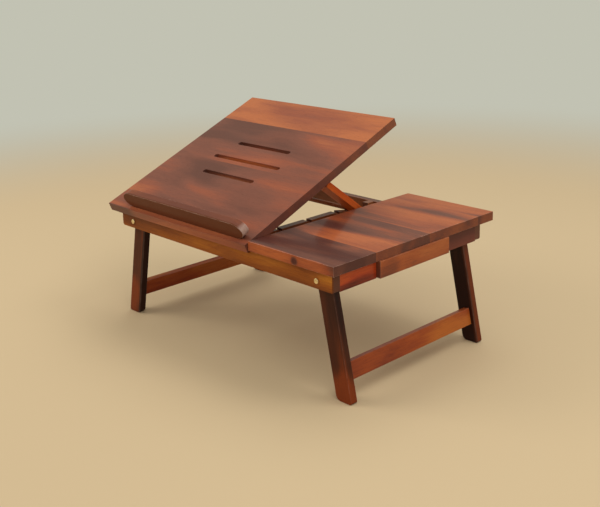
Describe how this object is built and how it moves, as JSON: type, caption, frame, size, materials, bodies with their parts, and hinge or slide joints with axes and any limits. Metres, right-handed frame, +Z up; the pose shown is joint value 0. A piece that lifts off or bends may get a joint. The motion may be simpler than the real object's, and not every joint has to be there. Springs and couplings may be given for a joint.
{
  "type": "laptop stand with drawer",
  "caption": "Wooden lap and bed stand: a tilting slotted board with a ledge beside a fixed panel, on a rail frame with a side drawer and folding splayed legs.",
  "frame": {"origin": "middle of the stand's outer box at floor level, standing with the board tilted at rest", "axes": "+X to the right along the front, +Y from the front edge to the back, +Z up"},
  "size_m": [0.6134, 0.416, 0.3818],
  "materials": {
    "side_panel_wood": "varnished hardwood",
    "front_rail_wood": "varnished hardwood",
    "back_rail_wood": "varnished hardwood",
    "left_end_rail_wood": "varnished hardwood",
    "rack_rail_wood": "varnished hardwood",
    "end_rail_front_wood": "varnished hardwood",
    "end_rail_rear_wood": "varnished hardwood",
    "rail_dowels_wood": "varnished hardwood",
    "drawer_runner_front_wood": "varnished hardwood",
    "drawer_runner_rear_wood": "varnished hardwood",
    "leg_stop_blocks_wood": "varnished hardwood",
    "tilt_board_wood": "varnished hardwood",
    "board_ledge_wood": "varnished hardwood",
    "prop_arm_right_wood": "varnished hardwood",
    "prop_arm_left_wood": "varnished hardwood",
    "prop_dowel_wood": "varnished hardwood",
    "drawer_front_wood": "varnished hardwood",
    "drawer_side_front_wood": "varnished hardwood",
    "drawer_side_rear_wood": "varnished hardwood",
    "drawer_back_wood": "varnished hardwood",
    "drawer_bottom_wood": "varnished hardwood",
    "stretcher_right_wood": "varnished hardwood",
    "leg_front_right_wood": "varnished hardwood",
    "leg_back_right_wood": "varnished hardwood",
    "stretcher_left_wood": "varnished hardwood",
    "leg_front_left_wood": "varnished hardwood",
    "leg_back_left_wood": "varnished hardwood",
    "brass": "polished",
    "steel": "plain"
  },
  "bodies": {
    "frame": {"side_panel": "side_panel_wood", "panel_screws": "steel", "front_rail": "front_rail_wood", "back_rail": "back_rail_wood", "left_end_rail": "left_end_rail_wood", "rack_rail": "rack_rail_wood", "end_rail_front": "end_rail_front_wood", "end_rail_rear": "end_rail_rear_wood", "rail_dowels": "rail_dowels_wood", "drawer_runner_front": "drawer_runner_front_wood", "drawer_runner_rear": "drawer_runner_rear_wood", "leg_stop_blocks": "leg_stop_blocks_wood", "pivot_bolts": "brass", "pivot_washers": "brass", "pivot_nuts": "brass", "board_hinge_rail_leaves": "brass", "board_hinge_pins": "steel"},
    "board": {"tilt_board": "tilt_board_wood", "board_hinge_board_leaves": "brass", "board_ledge": "board_ledge_wood", "ledge_screws": "steel", "prop_hinge_board_leaves": "brass", "prop_hinge_pins": "steel"},
    "prop": {"prop_hinge_arm_leaves": "brass", "prop_arm_right": "prop_arm_right_wood", "prop_arm_left": "prop_arm_left_wood", "prop_dowel": "prop_dowel_wood"},
    "drawer": {"drawer_front": "drawer_front_wood", "drawer_side_front": "drawer_side_front_wood", "drawer_side_rear": "drawer_side_rear_wood", "drawer_back": "drawer_back_wood", "drawer_bottom": "drawer_bottom_wood"},
    "right_legs": {"stretcher_right": "stretcher_right_wood", "leg_front_right": "leg_front_right_wood", "leg_back_right": "leg_back_right_wood"},
    "left_legs": {"stretcher_left": "stretcher_left_wood", "leg_front_left": "leg_front_left_wood", "leg_back_left": "leg_back_left_wood"}
  },
  "joints": [
    {"name": "board_tilt", "type": "hinge", "parent": "frame", "child": "board", "pos_m": [-0.10571, -0.18697, 0.214], "axis": [1, 0, 0], "range_deg": [-22.8, 18.2]},
    {"name": "prop_fold", "type": "hinge", "parent": "board", "child": "prop", "pos_m": [-0.07221, 0.00382, 0.29171], "axis": [1, 0, 0], "range_deg": [-48, 60.11]},
    {"name": "drawer_slide", "type": "slide", "parent": "frame", "child": "drawer", "axis": [1, 0, 0], "range_m": [-0.008, 0.14]},
    {"name": "right_leg_fold", "type": "hinge", "parent": "frame", "child": "right_legs", "pos_m": [0.25128, -0.00797, 0.197], "axis": [0, 1, 0], "range_deg": [0, 92]},
    {"name": "left_leg_fold", "type": "hinge", "parent": "frame", "child": "left_legs", "pos_m": [-0.24169, -0.00797, 0.197], "axis": [0, -1, 0], "range_deg": [0, 92]}
  ],
  "couplings": [
    {"joint": "prop_fold", "follows": "board_tilt", "ratio": -2.636}
  ]
}
